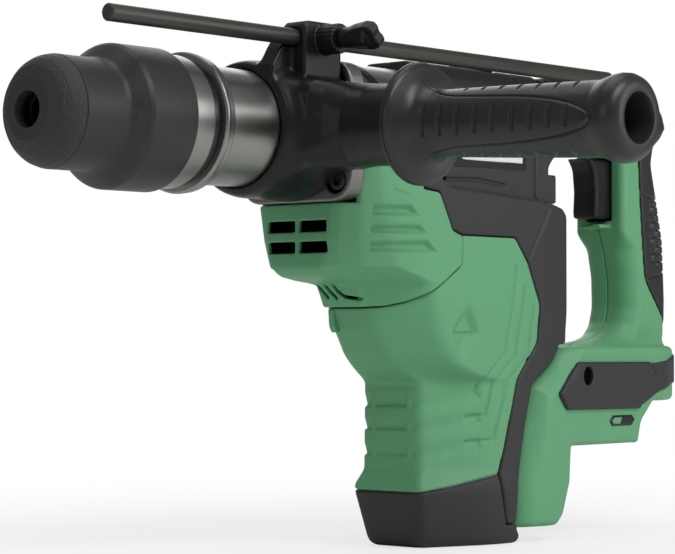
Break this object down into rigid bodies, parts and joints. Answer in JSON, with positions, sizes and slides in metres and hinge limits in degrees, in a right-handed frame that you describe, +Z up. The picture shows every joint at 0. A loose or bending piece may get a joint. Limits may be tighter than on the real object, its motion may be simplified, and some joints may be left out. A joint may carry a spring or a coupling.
{
  "type": "rotary hammer",
  "caption": "Battery rotary hammer: slotted-shank chuck, crank-driven hammer mechanism, vertical motor column, clamp-on side handle with depth rod, and a damped D-handle with trigger.",
  "frame": {"origin": "on the flat underside of the motor cap, on the middle plane, 275 mm behind the nose and 206 mm below the spindle axis", "axes": "+X along the spindle towards the D-handle, +Z up, +Y to the tool's right, so that the side handle points along -Y"},
  "size_m": [0.4765, 0.2483, 0.2565],
  "materials": {
    "housing_green": "fine-textured moulded plastic",
    "cover_grey": "fine-textured moulded plastic",
    "black_plastic": "satin moulded plastic",
    "soft_rubber": "matt, textured",
    "machined_steel": "turned and ground",
    "cast_aluminium": "die-cast, bead blasted",
    "blackened_steel": "blackened",
    "winding": "enamelled wire",
    "board": "solder-resist coated"
  },
  "bodies": {
    "body": {"front_cover": "machined_steel", "dust_seal": "soft_rubber", "cylinder_case": "cast_aluminium", "flange_bolt_1": "machined_steel", "flange_bolt_2": "machined_steel", "flange_bolt_3": "machined_steel", "flange_bolt_4": "machined_steel", "front_bearing": "machined_steel", "rear_bearing": "machined_steel", "gear_case": "cast_aluminium", "bearing_plate": "cast_aluminium", "crank_bearing": "machined_steel", "intermediate_bearing": "machined_steel", "stator": "winding", "motor_bearing_upper": "machined_steel", "motor_bearing_lower": "machined_steel", "front_housing": "housing_green", "motor_housing": "housing_green", "motor_cap": "cover_grey", "left_cover": "cover_grey", "right_cover": "cover_grey", "bellows": "soft_rubber", "pivot_pin": "machined_steel"},
    "spindle": {"spindle": "machined_steel", "front_cap": "soft_rubber", "locking_roller_left": "machined_steel", "locking_roller_right": "machined_steel", "sleeve_spring": "machined_steel", "damping_ring": "soft_rubber", "ring_bevel_gear": "machined_steel"},
    "chuck_sleeve": {"chuck_sleeve": "black_plastic"},
    "piston": {"piston": "cast_aluminium", "piston_ring": "soft_rubber", "wrist_pin": "machined_steel"},
    "connecting_rod": {"connecting_rod": "machined_steel"},
    "crank": {"crankshaft": "machined_steel", "crank_gear": "machined_steel"},
    "striker": {"striker": "machined_steel", "striker_ring": "soft_rubber"},
    "impact_bolt": {"impact_bolt": "machined_steel"},
    "intermediate": {"intermediate_shaft": "machined_steel"},
    "rotor": {"rotor_shaft": "machined_steel", "rotor_core": "machined_steel", "cooling_fan": "black_plastic"},
    "mode_dial": {"mode_dial": "cover_grey"},
    "clamp": {"handle_clamp": "black_plastic", "clamp_bolt": "machined_steel"},
    "side_grip": {"side_grip": "soft_rubber"},
    "depth_rod": {"depth_rod": "blackened_steel"},
    "wing_bolt": {"wing_bolt": "black_plastic"},
    "handle": {"handle_left_shell": "housing_green", "handle_right_shell": "housing_green", "grip_overmold": "soft_rubber", "side_panel_left": "cover_grey", "side_panel_right": "cover_grey", "battery_terminal": "black_plastic", "controller_board": "board", "switch_body": "black_plastic"},
    "trigger": {"trigger": "black_plastic"}
  },
  "joints": [
    {"name": "spindle_spin", "type": "hinge", "parent": "body", "child": "spindle", "pos_m": [-0.275, 0, 0.206], "axis": [1, 0, 0], "continuous": true},
    {"name": "chuck_sleeve_slide", "type": "slide", "parent": "spindle", "child": "chuck_sleeve", "axis": [1, 0, 0], "range_m": [0, 0.01]},
    {"name": "intermediate_spin", "type": "hinge", "parent": "body", "child": "intermediate", "pos_m": [-0.027, 0, 0.206], "axis": [0, 0, 1], "continuous": true},
    {"name": "rotor_spin", "type": "hinge", "parent": "body", "child": "rotor", "pos_m": [0.003, 0, 0.206], "axis": [0, 0, 1], "continuous": true},
    {"name": "crank_spin", "type": "hinge", "parent": "body", "child": "crank", "pos_m": [0.033, 0, 0.206], "axis": [0, 0, 1], "continuous": true},
    {"name": "piston_slide", "type": "slide", "parent": "body", "child": "piston", "axis": [1, 0, 0], "range_m": [0, 0.028]},
    {"name": "conrod_swing", "type": "hinge", "parent": "piston", "child": "connecting_rod", "pos_m": [-0.043, 0, 0.206], "axis": [0, 0, 1], "range_deg": [-12.5, 12.5]},
    {"name": "striker_slide", "type": "slide", "parent": "body", "child": "striker", "axis": [1, 0, 0], "range_m": [-0.006, 0.011]},
    {"name": "impact_bolt_slide", "type": "slide", "parent": "body", "child": "impact_bolt", "axis": [1, 0, 0], "range_m": [-0.008, 0]},
    {"name": "mode_dial_turn", "type": "hinge", "parent": "body", "child": "mode_dial", "pos_m": [0.031, 0, 0.206], "axis": [0, 0, 1], "range_deg": [-90, 90]},
    {"name": "clamp_turn", "type": "hinge", "parent": "body", "child": "clamp", "pos_m": [-0.275, 0, 0.206], "axis": [1, 0, 0], "range_deg": [-115, 15]},
    {"name": "side_handle_turn", "type": "hinge", "parent": "clamp", "child": "side_grip", "pos_m": [-0.11, -0.0836, 0.20524], "axis": [0, -0.9994, -0.0354], "range_deg": [0, 360]},
    {"name": "depth_rod_slide", "type": "slide", "parent": "clamp", "child": "depth_rod", "axis": [1, 0, 0], "range_m": [-0.12, 0.06]},
    {"name": "wing_bolt_turn", "type": "hinge", "parent": "clamp", "child": "wing_bolt", "pos_m": [-0.116, -0.036, 0.248], "axis": [0, -1, 0], "range_deg": [0, 360]},
    {"name": "handle_isolation", "type": "hinge", "parent": "body", "child": "handle", "pos_m": [0.043, 0, 0.056], "axis": [0, 1, 0], "range_deg": [-1.3, 0]},
    {"name": "trigger_pull", "type": "slide", "parent": "handle", "child": "trigger", "axis": [1, 0, 0], "range_m": [0, 0.008]}
  ],
  "couplings": [
    {"joint": "intermediate_spin", "follows": "spindle_spin", "ratio": -3},
    {"joint": "rotor_spin", "follows": "spindle_spin", "ratio": 15},
    {"joint": "crank_spin", "follows": "spindle_spin", "ratio": -3}
  ]
}
